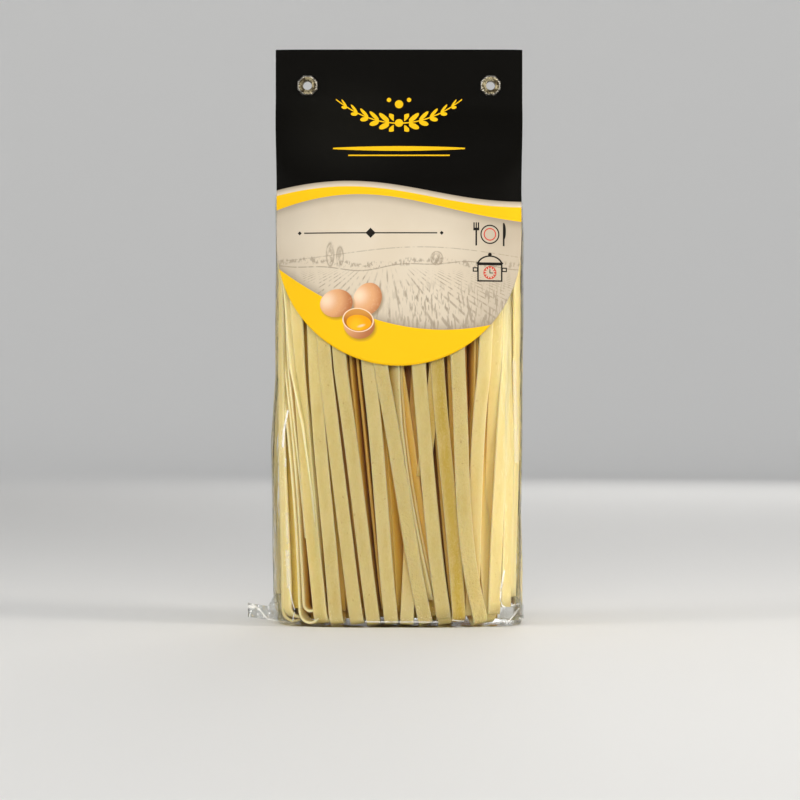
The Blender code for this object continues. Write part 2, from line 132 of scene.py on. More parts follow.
# Quads of a grid of rows by columns, row by row; wrapped closes it round its columns
def gridQuads(rows, columns, wrapped=False):
    r, c = np.meshgrid(np.arange(rows - 1), np.arange(columns if wrapped else columns - 1), indexing="ij")
    d = (c + 1) % columns
    quads = np.stack([r * columns + c, r * columns + d, (r + 1) * columns + d, (r + 1) * columns + c], -1)
    return quads.reshape(-1, 4)


def addObject(name, data):
    made = bpy.data.objects.new(name, data)
    bpy.context.scene.collection.objects.link(made)
    return made


# Millimetre points and faces into a smooth mesh object at the origin, with four numbers a point if given
def meshPiece(name, points, faces, materials, data=None):
    mesh = bpy.data.meshes.new(name)
    mesh.from_pydata((points.reshape(-1, 3) * 0.001).tolist(), [], faces)
    if data is not None:
        layer = mesh.attributes.new("pointData", "FLOAT_COLOR", "POINT")
        layer.data.foreach_set("color", data.astype(np.float32).ravel())
    for material in materials:
        mesh.materials.append(material)
    mesh.polygons.foreach_set("use_smooth", np.ones(len(mesh.polygons), bool))
    mesh.update()
    print(name, len(mesh.polygons), "faces")
    return addObject(name, mesh)


# Quads whose middle lies outside both eyelets' holes
def withoutHoles(points, quads, radius):
    middle = points[quads].mean(1)
    return quads[np.hypot(np.abs(middle[:, 0]) - eyelet["x"], middle[:, 2] - eyelet["z"]) >= radius]


# A node with its settings, and its inputs by name or number: each a plain value or a field
def addNode(tree, kind, inputs, **settings):
    node = tree.nodes.new("ShaderNode" + kind)
    for name, value in settings.items():
        setattr(node, name, value)
    for name, value in inputs.items():
        socket = node.inputs[name]
        if isinstance(value, Field):
            tree.links.new(value.socket, socket)
        else:
            socket.default_value = (*value, 1) if socket.type == "RGBA" else value
    return [Field(tree, output) for output in node.outputs]


# A method of a field that puts a Math node on top of it
def mathNode(operation):
    return lambda field, *others: field.math(operation, *others)


# What a node gives out. Ordinary signs work on it, and a plain number may stand on either side of + and *.
class Field:
    def __init__(self, tree, socket):
        self.tree, self.socket = tree, socket

    def math(self, operation, *others, clamp=False):
        inputs = dict(enumerate((self,) + others))
        return addNode(self.tree, "Math", inputs, operation=operation, use_clamp=clamp)[0]

    __add__ = __radd__ = mathNode("ADD")
    __sub__ = mathNode("SUBTRACT")
    __mul__ = __rmul__ = mathNode("MULTIPLY")
    __truediv__ = mathNode("DIVIDE")
    least = mathNode("MINIMUM")
    most = mathNode("MAXIMUM")
    abs = mathNode("ABSOLUTE")
    sin = mathNode("SINE")
    cos = mathNode("COSINE")

    def __neg__(self):
        return self * -1

    def __rsub__(self, other):
        return -self + other

    def root(self):
        return self.most(0).math("SQRT")

    def hypot(self, other):
        return (self * self + other * other).root()

    # 0 below low, 1 above high, with level ends
    def ease(self, low, high):
        inputs = {"Value": self, "From Min": low, "From Max": high}
        return addNode(self.tree, "MapRange", inputs, interpolation_type="SMOOTHSTEP")[0]

    # 1 where this distance is below 0, with an edge that many millimetres soft
    def inside(self, soft=0.08):
        return self.math("MULTIPLY_ADD", -1 / soft, 0.5, clamp=True)


# A new material, its Object coordinates, and those as x, y and z in millimetres
def newMaterial(name):
    made = bpy.data.materials.new(name)
    made.use_nodes = True
    tree = made.node_tree
    tree.nodes.clear()
    place = Field(tree, tree.nodes.new("ShaderNodeTexCoord").outputs["Object"])
    return made, place, [part * 1000 for part in addNode(tree, "SeparateXYZ", {0: place})]


# Puts a Principled shader with these inputs at the material's output
def principled(tree, inputs):
    addNode(tree, "OutputMaterial", {"Surface": addNode(tree, "BsdfPrincipled", inputs)[0]})


# Noise on Object coordinates: scale is waves a metre on each axis
def noiseField(place, scale, detail=3, roughness=0.55, offset=(0, 0, 0)):
    mapped = addNode(place.tree, "Mapping", {"Vector": place, "Scale": scale, "Location": offset})[0]
    inputs = {"Vector": mapped, "Scale": 1, "Detail": detail, "Roughness": roughness}
    return addNode(place.tree, "TexNoise", inputs)[0]


# One colour over another by a 0 to 1 field
def blend(share, below, above):
    return addNode(share.tree, "Mix", {0: share, 6: below, 7: above}, data_type="RGBA")[2]


# Bump from a height field, stacked on an earlier normal
def bump(height, strength, distance, under=None):
    inputs = {"Height": height, "Strength": strength, "Distance": distance}
    if under is not None:
        inputs["Normal"] = under
    return addNode(height.tree, "Bump", inputs)[0]


# The four numbers that meshPiece stored at each point
def pointData(tree):
    colour, _, _, alpha = addNode(tree, "Attribute", {}, attribute_name="pointData")
    return (*addNode(tree, "SeparateColor", {0: colour}), alpha)


doughLook = {
    "face": (0.735, 0.595, 0.235), "deep": (0.62, 0.43, 0.055), "pale": (0.86, 0.715, 0.33),
    # The edge tone is a painted highlight; the orange and dark brown tones by depth are painted light
    # through ribbons and painted shade in recesses
    "rimHighlight": (0.93, 0.83, 0.5), "glow": (0.78, 0.44, 0.055), "recessShade": (0.48, 0.16, 0.02),
    "fleck": (0.45, 0.24, 0.05), "translucence": 0.3, "reach": 0.0016, "depthUnit": 12,
    "reachByColour": (1, 0.62, 0.18),
}


# Base colour between face, deep and pale by the strand's tint, with a painted highlight that makes its
# edges paler, and a fine mottle. Deeper in the bag the colour turns orange, then dark brown: painted light
# that has passed through other ribbons, and painted shade in the recesses; less so at the top and the foot,
# where light comes in past the ribbons' ends.
def doughMaterial():
    made, place, (x, y, z) = newMaterial("egg dough")
    tint, grit, rimHighlight, depth = pointData(place.tree)
    openEnds = z.ease(174, 190) * 0.85 + (1 - z.ease(2, 12)) * 0.6
    depth = depth * doughLook["depthUnit"] * (1 - openEnds)
    cloud = noiseField(place, (260, 260, 70), 4)
    fine = noiseField(place, (1700, 1700, 1300), 3, 0.7)
    speck = noiseField(place, (700, 700, 600), 1, offset=(3, 1, 7))
    pits = noiseField(place, (1000, 1000, 760), 4, 0.6, (9, 4, 2))
    layers = (
        ((0.5 - tint).ease(0, 0.5), "pale"), ((tint - 0.5).ease(0, 0.5), "deep"),
        ((cloud - 0.42).ease(0, 0.3) * 0.28, "pale"), ((0.5 - cloud).ease(0, 0.25) * 0.24, "deep"),
        (fine.ease(0.45, 0.68) * 0.34, "pale"), ((1 - fine).ease(0.5, 0.72) * 0.22, "deep"),
        # the second layer here is the painted highlight on the ribbons' edges
        (speck.ease(0.7, 0.78) * 0.45, "fleck"), (rimHighlight * 0.8, "rimHighlight"),
        # painted light through ribbons and painted shade in recesses, growing with depth
        (depth.ease(2.4, 5.6) * 0.85, "glow"), (depth.ease(5.8, 10) * 0.92, "recessShade"),
    )
    colour = doughLook["face"]
    for share, tone in layers:
        colour = blend(share, colour, doughLook[tone])
    soft = bump(fine * 0.5 + cloud * 0.4, 0.45, 0.0003)
    principled(place.tree, {
        "Base Color": colour, "Roughness": 0.5 + fine * 0.16 + grit * 0.12, "Specular IOR Level": 0.38,
        "Subsurface Weight": doughLook["translucence"], "Subsurface Radius": doughLook["reachByColour"],
        "Subsurface Scale": doughLook["reach"], "Normal": bump(pits * grit, 1, 0.0008, soft),
    })
    return made


strand = {
    "width": 6.2, "thick": 1.3, "cup": 0.1, "outerSection": (7, 2), "innerSection": (3, 0),
    "top": 193, "topSpread": 5, "bendSteps": 9, "legSteps": 28, "backLegSteps": 7,
}

# Ribbons that show at the front. Their middles, in mm from the bag's middle along x, are read at four
# heights; then how far the near face lies under the film at the card's edge and at the foot, the roll
# (0 is broad face out, minus turns the right edge forward), the height of the foot, the radius of its
# bend (0 is a cut end), the tint (0 pale, 0.5 plain, 1 deep), the grit and the width.
# The tint is partly the ribbon's own tone and partly painted shade: deeper on ribbons that lie deep or turn
# from the light.
readHeights = (115, 80, 42, 8)
frontStrands = (
    (-45.1, -42.2, -39, -35.8, 0.5, 0.4, 0, 1.5, 4.6, 0.62, 0.1, 6.4),
    (-37.8, -35.1, -31.8, -28.8, 2, 0.5, 0, 1.1, 4.6, 0.5, 0, 6.2),
    (-33.1, -29, -24.3, -19.8, 0.4, 0.4, 0, 1.2, 4.6, 0.48, 0.1, 6.2),
    (-26.1, -21.4, -16.7, -12.3, 0.7, 0.8, 0, 0.8, 4.6, 0.52, 0, 6.2),
    (-13.6, -10, -7.1, -4, 2, 0.5, 0, 1.3, 4.6, 0.36, 0, 6.3),
    (-7.8, -1.7, 4.5, 10.8, 0.4, 0.3, -3, 1.2, 4.6, 0.28, 1, 6.4),
    (-2, 0.7, 6.75, 14, 1.9, 1.9, -38, 12.1, 0, 0.35, 0.2, 6),
    (-0.7, 2.2, 8.4, 15.4, 3.7, 3.6, -42, 9, 0, 0.45, 0.1, 6),
    (-0.6, 5, 9.9, 15, 4.2, 4.5, -20, 5, 0, 0.8, 0, 6.2),
    (16.4, 12.4, 7.9, 4, 3.4, 3.4, 0, 68, 0, 0.85, 0, 6.2),
    (8.6, 7.1, 5.4, 3.8, 8, 2.6, 0, 1.4, 0, 0.25, 0, 6.2),
    (-6.6, -3.8, -0.7, 1, 5.6, 5, 38, 7, 0, 0.95, 0, 6.2),
    (9, 11.7, 15.3, 19.6, 0.5, 0.6, 0, 4.6, 0, 0.54, 0.2, 6.4),
    (9.3, 12, 15.6, 19.9, 2.1, 2, 0, 3, 4.4, 0.45, 0, 6.2),
    (9.3, 12, 15.6, 20, 3.6, 3.5, 0, 0.8, 4.6, 0.45, 0, 6.2),
    (17.6, 20.7, 24.3, 26.9, 2, 1.7, 3, 2.2, 4.6, 1, 0, 6.3),
    (26.5, 27.8, 30, 35.9, 0.3, 0.3, 0, 0.9, 4.6, 0.3, 0.9, 6.7),
    (38.4, 35.3, 34, 33, 2, 3.6, -6, 5, 0, 0.32, 0, 6.2),
    (33.2, 32.3, 31.5, 31, 4.6, 4.6, -76, 6, 0, 0.55, 0, 5.8),
    (34.8, 33.8, 32.9, 32.2, 5.2, 5.2, -80, 6, 0, 0.65, 0, 5.8),
    (43.4, 42.3, 40.6, 38.9, 2.2, 4, -12, 6, 0, 0.45, 0, 6.2),
    (48.3, 46.1, 44.3, 43, 1.8, 0.7, 0, 5.7, 0, 0.22, 0, 6.2),
    (37.6, 37.2, 38.6, 41, 5.6, 3, 0, 1.4, 4.6, 0.45, 0, 6.2),
    (-50.9, -47.9, -45.2, -43.8, 0.9, 1.9, -84, 0.9, 5.3, 0.3, 0, 6.2),
    (-49.6, -46.4, -43.7, -42, 1.2, 2.1, -84, 6.2, 3.2, 0.35, 0, 6.2),
    (-48.2, -45, -41.4, -39.4, 1.7, 2.6, -84, 40, 0, 0.4, 0, 6.2),
    (-50.8, -49.8, -47.8, -46.4, 2.6, 2.4, 8, 8, 0, 0.9, 0, 6.2),
    (-53.6, -52.8, -51.4, -50.6, 4.6, 4.4, 0, 9, 0, 1, 0, 6.2),
    (-20.8, -17.2, -13.3, -9.6, 5.4, 5, 72, 8, 0, 0.9, 0, 6),
    (-17.7, -14.2, -10.6, -6.8, 6.2, 5.6, 78, 8, 0, 0.95, 0, 6),
    (50, 49.7, 49.2, 48.4, 1.9, 0.9, 0, 8.6, 0, 0.2, 0, 6.2),
)
# The same for ribbons round the two front corners, with lengths along the film instead of x
cornerStrands = (
    (-60, -59, -56.8, -56.2, 0.5, 0.5, 0, 3.2, 5.2, 0.3, 0, 6.3),
    (-66.8, -66.2, -64.4, -63.8, 0.8, 0.7, 0, 1, 4.6, 0.42, 0, 6.2),
    (59.4, 60.2, 60.2, 60, 0.4, 1.7, 0, 12.8, 0, 0.05, 0, 6.2),
    (53.6, 57.6, 61, 64, 3.2, 3.2, 0, 9.4, 0, 0.55, 0, 6.2),
    (66.6, 67.2, 67, 66.8, 0.6, 1.2, 0, 10.6, 0, 0.3, 0, 6.2),
)
restFill = {
    "pitch": 7.35, "lean": 8, "insets": (0.5, 0.5, 0.8, 1.2), "layers": (2.4, 4.6), "seed": 11,
    "cutUpTo": 100, "cutFoot": (7, 10), "backed": (0, 1, 2, 3, 4, 5, 12, 15, 16, 17, 20, 21),
    "backing": (5.4, 7.6), "backingJitter": 0.9, "rowGap": 2.3, "rowPitch": 7, "innerX": 43,
    "innerY": 15, "coreX": 47, "coreY": 17.5,
}


# Rounded ribbon section: half rings of the thickness at both edges and slightly crowned faces.
# Gives u over the half width, v over the half thickness, and 1 at the edges, where the dough's colour is
# painted paler as an edge highlight.
def ribbonSection(width, thick, edgePoints, facePoints):
    edge = np.linspace(-0.5 * np.pi, 0.5 * np.pi, edgePoints)
    nose = 0.82 * thick / width
    faceU = np.linspace(1 - nose, -1 + nose, facePoints + 2)[1:-1]
    u = np.concatenate([1 - nose + nose * np.cos(edge), faceU, -1 + nose - nose * np.cos(edge), -faceU])
    v = np.concatenate([np.sin(edge), np.ones_like(faceU), -np.sin(edge), -np.ones_like(faceU)])
    v = np.sign(v) * np.abs(v) ** 0.75
    rimHighlight = np.clip((np.abs(u) - (1 - 1.6 * nose)) / (1.6 * nose), 0, 1) ** 1.5
    return u, v, rimHighlight


# A section carried along each path: point = path + across * u * width/2 + normal * (v * thick/2 + cup)
# Arrays are strands by stations. Returns points, quads, end caps and data for joining, with the depth
# under the film as the data's last number.
def sweepStrands(path, normal, width, cup, data, start, sectionPoints):
    count, steps = path.shape[:2]
    along = unit(np.gradient(path, axis=1))
    across = unit(np.cross(along, normal))
    normal = np.cross(across, along)
    u, v, rimHighlight = ribbonSection(strand["width"], strand["thick"], *sectionPoints)
    side = u[:, None] * (width[:, None, None, None] / 2)
    rise = v * strand["thick"] / 2 + cup[:, None, None] * (1 - u * u)
    points = path[:, :, None] + across[:, :, None] * side + normal[:, :, None] * rise[..., None]
    k = len(u)
    offsets = start + np.arange(count) * steps * k
    quads = gridQuads(steps, k, True)[:, [0, 3, 2, 1]] + offsets[:, None, None]
    ring = np.arange(k)
    caps = np.concatenate([offsets[:, None] + ring, offsets[:, None] + (steps - 1) * k + ring[::-1]])
    colour = np.ones((count, steps, k, 4))
    colour[..., :2] = data[:, None, None]
    colour[..., 2] = rimHighlight
    colour[..., 3] = np.clip(depthUnder(points) / doughLook["depthUnit"], 0, 1)
    return points.reshape(-1, 3), quads.reshape(-1, 4), caps, colour.reshape(-1, 4)


# Middle line through four read places: a cubic between them, straight beyond, gentler at the top
def trackAt(reads, z):
    heights = np.array(readHeights)
    held = np.clip(z, heights[-1], heights[0])
    value = 0
    for i in range(4):
        others = [j for j in range(4) if j != i]
        weight = np.prod([(held - heights[j]) / (heights[i] - heights[j]) for j in others], axis=0)
        value = value + reads[:, i, None] * weight
    upper = (reads[:, :1] - reads[:, 1:2]) / (heights[0] - heights[1]) * 0.6
    lower = (reads[:, 2:3] - reads[:, 3:]) / (heights[2] - heights[3])
    return value + upper * np.maximum(z - heights[0], 0) + lower * np.minimum(z - heights[-1], 0)


# Half of a ribbon's extent towards the film, by its roll
def ribbonReach(turn, width):
    return np.abs(np.sin(turn)) * width / 2 + np.abs(np.cos(turn)) * strand["thick"] / 2


# Down under the film, round the bend and back up inside: the bend is a half circle towards the
# back of the broad face, and the second leg is the first one moved by two radii
def strandPaths(rows, top, seed):
    rng = np.random.default_rng(seed)
    reads, insets, roll, foot, radius, width = rows[:, :4], rows[:, 4:6], *rows[:, (6, 7, 8, 11)].T
    half = strand["thick"] / 2
    slope = np.abs(reads[:, 2] - reads[:, 3]) / (readHeights[2] - readHeights[3])
    low = foot + np.where(radius > 0, half + radius, 0)
    low = np.maximum(low, 0.3 + radius + half + slope * width / 2)
    share = np.linspace(0, 1, strand["legSteps"]) ** 0.85
    z = top[:, None] + (low - top)[:, None] * share
    size, phase, wave = (rng.uniform(*ends, (len(rows), 1)) for ends in ((0.12, 0.35), (0, 6.3), (24, 44)))
    length = trackAt(reads, z) + size * np.sin(phase + z / wave) * ease((z - 12) / 30)
    depth = mix(insets[:, 1:], insets[:, :1], np.clip((z - 8) / 107, 0, 1.2))
    turn = np.radians(roll)[:, None] * np.ones_like(z)
    path, out = bagPoint(length, z, depth + ribbonReach(turn, width[:, None]))
    side = np.stack([-out[..., 1], out[..., 0], np.zeros_like(z)], -1)
    normal = out * np.cos(turn)[..., None] + side * np.sin(turn)[..., None]
    if radius[0] == 0:
        return path, normal
    down = unit(path[:, -1] - path[:, -2])
    face = unit(normal[:, -1] - down * np.sum(normal[:, -1] * down, -1, keepdims=True))
    r = radius[:, None, None]
    angle = np.linspace(0, np.pi, strand["bendSteps"] + 1)[None, 1:, None]
    radial = face[:, None] * np.cos(angle) + down[:, None] * np.sin(angle)
    bend = path[:, None, -1] - face[:, None] * r + radial * r
    back = np.linspace(0, 1, strand["backLegSteps"] + 1)[1:] ** 1.3
    pick = np.clip((strand["legSteps"] - 1) * (1 - back), 1, None).astype(int)
    second = path[:, pick] - normal[:, pick] * 2 * r
    return np.concatenate([path, bend, second], 1), np.concatenate([normal, radial, -normal[:, pick]], 1)


# Film lengths whose points, set in by the ribbon's depth, land on the x that was read, at each height
def frontLengths(table):
    span = np.linspace(-0.25 * girth, 0.25 * girth, 601)
    lengths = table[:, :4].copy()
    reach = ribbonReach(np.radians(table[:, 6]), table[:, 11])
    for i, z in enumerate(readHeights):
        depths = mix(table[:, 5], table[:, 4], (z - 8) / 107) + reach
        for row, depth in enumerate(depths):
            place, _ = bagPoint(span, np.full_like(span, z), np.full_like(span, depth))
            lengths[row, i] = np.interp(table[row, i], place[:, 0], span)
    return lengths


# Seeded ribbons in three layers round the sides and the back, between two ribbons of the front's corners
def sideRows(rng, first, last):
    room = girth - (last - first)
    count = int(room.min() / restFill["pitch"])
    shares = (np.arange(count) + 1) / (count + 1)
    slant = np.interp(readHeights, (8, 115), (-0.5, 0.5))
    rows = []
    for layer, inset in enumerate((None,) + restFill["layers"]):
        lean = rng.uniform(-1, 1, (count, 1)) * restFill["lean"] * (0.5 if layer == 0 else 0.8)
        shift = (0.5 / (count + 1)) * (layer % 2)
        reads = last + (shares + shift)[:, None] * room + lean * slant
        reads = reads + rng.normal(0, 0.3, reads.shape)
        depth = rng.choice(restFill["insets"], count) if layer == 0 else inset + rng.uniform(0, 0.5, count)
        if layer == 0:
            foot, radius = rng.uniform(0.4, 2.6, count), np.where(rng.random(count) < 0.85, 4.6, 0)
        elif layer == 1:
            foot, radius = np.full(count, 2.4), np.full(count, 2.4)
        else:
            foot, radius = rng.uniform(5.5, 9, count), np.zeros(count)
        cut = reads.mean(1) < restFill["cutUpTo"]
        foot = np.where(cut, rng.uniform(*restFill["cutFoot"], count), foot)
        rows.append(np.column_stack([
            reads, depth, depth + rng.uniform(-0.2, 0.2, count), rng.uniform(-5, 5, count), foot,
            np.where(cut, 0, radius), rng.uniform(0.15, 0.75, count), (rng.random(count) < 0.2) * 0.8,
            rng.uniform(6, 6.4, count),
        ]))
    return rows


# Cut ribbons further in, behind some of the front ones, so that no gap looks empty
def backingRows(rng, table):
    kept, rows = len(restFill["backed"]), []
    for inset in restFill["backing"]:
        behind = table[list(restFill["backed"])]
        behind[:, :4] += rng.normal(0, restFill["backingJitter"], (kept, 1)) + rng.normal(0, 0.3, (kept, 4))
        behind[:, 4:6] = inset + rng.uniform(0, 0.4, (kept, 1))
        behind[:, 6] = rng.uniform(-6, 6, kept)
        behind[:, 7], behind[:, 8] = rng.uniform(6, 10, kept), 0
        behind[:, 9] = rng.uniform(0.4, 0.9, kept)
        rows.append(behind)
    return rows


def outerStrands(dough):
    rng = np.random.default_rng(restFill["seed"])
    front, corner = np.array(frontStrands), np.array(cornerStrands)
    front[:, :4] = frontLengths(front)
    table = np.concatenate([front, corner])
    rows = sideRows(rng, corner[1, :4], corner[4, :4]) + backingRows(rng, table)
    everything = np.concatenate([table] + rows)
    made, total = [], 0
    for i, bent in enumerate((True, False)):
        rows = everything[(everything[:, 8] > 0) == bent]
        top = strand["top"] - rng.uniform(0, strand["topSpread"], len(rows))
        path, normal = strandPaths(rows, top, 5 + i)
        cup = strand["cup"] * rng.uniform(-0.4, 1, len(rows))
        part = sweepStrands(path, normal, rows[:, 11], cup, rows[:, 9:11], total, strand["outerSection"])
        made.append(part)
        total += len(part[0])
    points, quads, caps, data = (np.concatenate(parts) for parts in zip(*made))
    return meshPiece("outerRibbons", points, quads.tolist() + caps.tolist(), [dough], data)


# Straight ribbons in flat rows inside: x by a pitch and y by a row gap, with small seeded leans
def innerStrands(dough):
    rng = np.random.default_rng(restFill["seed"] + 1)
    rowsY = np.arange(-restFill["innerY"], restFill["innerY"] + 0.1, restFill["rowGap"])
    columns = np.arange(-restFill["innerX"], restFill["innerX"] + 0.1, restFill["rowPitch"])
    x, y = (v.ravel() for v in np.meshgrid(columns, rowsY))
    keep = (np.abs(x) / restFill["coreX"]) ** 3 + (np.abs(y) / restFill["coreY"]) ** 3 < 1
    x, y = x[keep] + rng.normal(0, 0.5, keep.sum()), y[keep]
    count = len(x)
    share = np.linspace(0, 1, 5)[::-1]
    low, high = rng.uniform(2, 9, count), strand["top"] - rng.uniform(0, 8, count)
    lean = rng.uniform(-3, 3, count)
    heights = low[:, None] + (high - low)[:, None] * share
    path = np.stack([x[:, None] + lean[:, None] * (share - 0.5), y[:, None] + 0 * share, heights], -1)
    normal = np.zeros_like(path)
    normal[..., 1] = -1
    data = np.column_stack([rng.uniform(0.4, 0.9, count), np.zeros(count)])
    width, cup = np.full(count, strand["width"]), np.zeros(count)
    points, quads, caps, data = sweepStrands(path, normal, width, cup, data, 0, strand["innerSection"])
    return meshPiece("innerRibbons", points, quads.tolist() + caps.tolist(), [dough], data)


film = {
    "columns": 300, "lift": 0.12, "footLip": 3, "leftStand": 2.3, "rightStand": 0.9, "hole": 3,
    # The white below is the colour of the painted highlights on the film's creases
    "gloss": 0.07, "paintedGlare": (0.98, 0.97, 0.94),
    "skin": {"clear": (0.985, 0.985, 0.98), "edge": (0.985, 0.985, 0.98), "bend": 1.2, "crease": 0.45},
    # The ear's grey is partly the absorption of its stacked plies and partly painted shade; its edge tone
    # is painted shade along the cut edge
    "ear": {"clear": (0.8, 0.81, 0.8), "edge": (0.42, 0.43, 0.42), "bend": 1.45, "crease": 0.9},
    # Painted highlights along creases, as x, z to x, z, then half width and strength
    "glares": ((-50.4, 97.6, -52.2, 89.1, 0.4, 0.9), (-52.2, 89.1, -52.6, 81.5, 0.5, 0.8),
               (-51.4, 76, -51.5, 72.5, 0.35, 0.6), (-51, 51, -50.6, 38, 0.6, 0.25),
               (-50.6, 34, -50, 18, 0.9, 0.3), (-49.7, 18, -48.6, 12.2, 0.28, 0.6),
               (-48.6, 12.2, -47.3, 7.7, 0.25, 0.6), (-47.4, 6.3, -48.2, 2.7, 0.25, 0.5),
               (47.7, 25.2, 46.2, 17.5, 0.4, 0.8), (46.2, 17.5, 45.9, 12, 0.3, 0.8),
               (45.9, 12, 46.8, 9.5, 0.25, 0.7), (46.8, 9.5, 48, 8.8, 0.35, 0.8),
               (52.4, 120, 53.4, 75, 1.00, 0.25), (-15, 2.8, 17.5, 2.7, 0.25, 0.7),
               (24, 3.5, 29, 3, 0.25, 0.5)),
    # The same painted highlights on the ears
    "earGlares": ((-67.6, 8.8, -63.9, 6, 0.32, 0.9), (-63.9, 6, -60.3, 1.9, 0.28, 0.8),
                  (-60.3, 1.9, -54.7, 0.9, 0.3, 0.9), (-54.7, 0.9, -49.7, 0.5, 0.3, 0.9),
                  (-69, 7.6, -66.8, 7.4, 0.7, 0.9), (-58.2, 13.6, -56.4, 10, 0.25, 0.4),
                  (48.9, 0.7, 54.8, 7.1, 0.32, 0.8), (51.2, 9, 55, 9.3, 0.4, 0.4),
                  (55.4, 2.6, 56.4, 2.2, 0.5, 0.8)),
    "leftEar": ((-50, 0.8, 9.5), (-54.5, 1, 13.6), (-56.5, 1.2, 13.5), (-58.5, 1.5, 11), (-60, 1.7, 7.6),
                 (-63, 2.2, 7.9), (-66, 2.6, 8.6), (-69.3, 3, 9.2)),
    "rightEar": ((45.5, 0.6, 5), (48, 0.6, 9), (50.5, 0.7, 12.5), (53, 0.8, 13), (55.5, 1, 11),
                  (57.2, 1.6, 8.4)),
}


# Distance in x and z to a straight stretch: the nearest point lies h along it, h held to 0..1
def stretchDistance(x, z, x1, z1, x2, z2):
    dx, dz, ux, uz = x - x1, z - z1, x2 - x1, z2 - z1
    h = (dx * ux + dz * uz).math("DIVIDE", ux * ux + uz * uz, clamp=True)
    return (dx - h * ux).hypot(dz - h * uz)


# Clear film: what it lets through, plus a gloss that grows at a slant, with fine creases as bump.
# Along the glare stretches, where there are any, a white diffuse shader mixes in as painted highlights on
# sharp creases.
def filmMaterial(name, look, glares=()):
    made, place, (x, y, z) = newMaterial(name)
    tree = place.tree
    crease = noiseField(place, (150, 150, 60), 3, 0.5)
    tight = noiseField(place, (420, 420, 330), 3, 0.6, (4, 2, 8))
    foot, sides = (-z).ease(-16, -2), x.abs().ease(40, 52)
    ridges = (crease - 0.5).abs() * (0.7 + sides * 1.4) + (tight - 0.5).abs() * (0.2 + foot * 1.6)
    normal = bump(ridges, look["crease"], 0.0011)
    # The clear colour turns to the edge tone where the data is 1: painted shade along the ear's cut edge
    clear = {"Color": blend(pointData(tree)[2], look["clear"], look["edge"])}
    gloss = {"Color": (1, 1, 1), "Roughness": film["gloss"], "Normal": normal}
    slant = addNode(tree, "Fresnel", {"IOR": look["bend"], "Normal": normal})[0]
    skin = addNode(tree, "MixShader", {
        0: slant, 1: addNode(tree, "BsdfTransparent", clear)[0], 2: addNode(tree, "BsdfGlossy", gloss)[0],
    })[0]
    if glares:
        # Painted highlights: white along each glare stretch, broken up by noise
        paintedGlare = 0
        for x1, z1, x2, z2, half, strength in glares:
            line = (1 - stretchDistance(x, z, x1, z1, x2, z2).ease(half * 0.4, half * 1.5)) * strength
            paintedGlare = line.most(paintedGlare)
        paintedGlare = paintedGlare * (tight.ease(0.28, 0.52) * 0.7 + 0.3)
        white = addNode(tree, "BsdfDiffuse", {"Color": film["paintedGlare"]})[0]
        skin = addNode(tree, "MixShader", {0: paintedGlare, 1: skin, 2: white})[0]
    addNode(tree, "OutputMaterial", {"Surface": skin})
    return made


# The bag's ring at each height, pushed out by its lift, stand-off and wrinkles. The first rows run
# from the seam line under the bag to the foot edge.
def filmShell():
    angle = np.linspace(0, 2 * np.pi, film["columns"], endpoint=False)
    under = np.linspace(0, 1, 9)
    edge = np.linspace(0.25, 3.2, 7)[1:]
    body = [np.linspace(*ends) for ends in ((3.8, 30, 26), (31.5, 196, 84), (197, 261, 44))]
    z = np.concatenate([np.full(len(under), 0.25), edge] + body)
    tuck = np.concatenate([under, np.ones(len(z) - len(under))])[:, None]
    zz, aa = np.meshgrid(z, angle, indexing="ij")
    a, b, n, gusset = bagSection(zz)
    foot = 1.6 * (1 - np.sqrt(np.clip(1 - (1 - zz / 3.2).clip(0, 1) ** 2, 0, 1)))
    x, y = ringPoint(aa, a - foot, b - foot, n)
    side = ease((np.abs(x) / a - bag["gussetStart"]) / (bag["gussetFull"] - bag["gussetStart"]))
    x = x - np.sign(x) * gusset * side * (1 - np.abs(y) / b)
    out = ringNormal(x, y, a, b, n)
    side = ease((np.abs(x) / a - 0.8) / 0.14)
    left, right = side * (x < 0), side * (x > 0)
    hidden = ease((zz - 118) / 12) * (1 - side)
    push = film["lift"] + 0.16 * softNoise(aa * 9, zz / 14, 3)
    push += left * film["leftStand"] * ease((zz - 2) / 14) * (1 - ease((zz - 72) / 50))
    push += right * film["rightStand"] * (1 - ease((zz - 24) / 30))
    push += right * 0.6 * ease((zz - 120) / 20) * (1 - ease((zz - 175) / 15))
    pleat = crumple(aa * 5.5, zz / 55, 8)
    push += side * (0.55 + 0.55 * pleat) * (1 - 0.6 * ease((zz - 188) / 9))
    push += (1 - ease((zz - 4) / 14)) * (0.35 + 0.45 * crumple(aa * 14, zz / 8, 5))
    push += 0.5 * np.exp(-((zz - film["footLip"]) / 0.7) ** 2)
    gable = np.minimum(push, 0.25) * (1 - side) + side * 0.9 * crumple(aa * 10, zz / 16, 21)
    push = np.where(zz > bag["shoulder"], gable, push)
    push = np.maximum(push * (1 - 0.75 * hidden), -0.4) * ease((262 - zz) / 30)
    push = np.where(tuck < 1, 0, push)
    x, y = x + out[..., 0] * push, (y + out[..., 1] * push) * tuck
    zz = zz + np.where(tuck < 1, 0.25 * (1 + softNoise(x / 6, y / 5, 31)), 0)
    points = np.stack([x, y, np.maximum(zz, 0.08)], -1).reshape(-1, 3)
    quads = withoutHoles(points, gridQuads(len(z), film["columns"], True), film["hole"])
    return points, quads, np.zeros((len(points), 4))


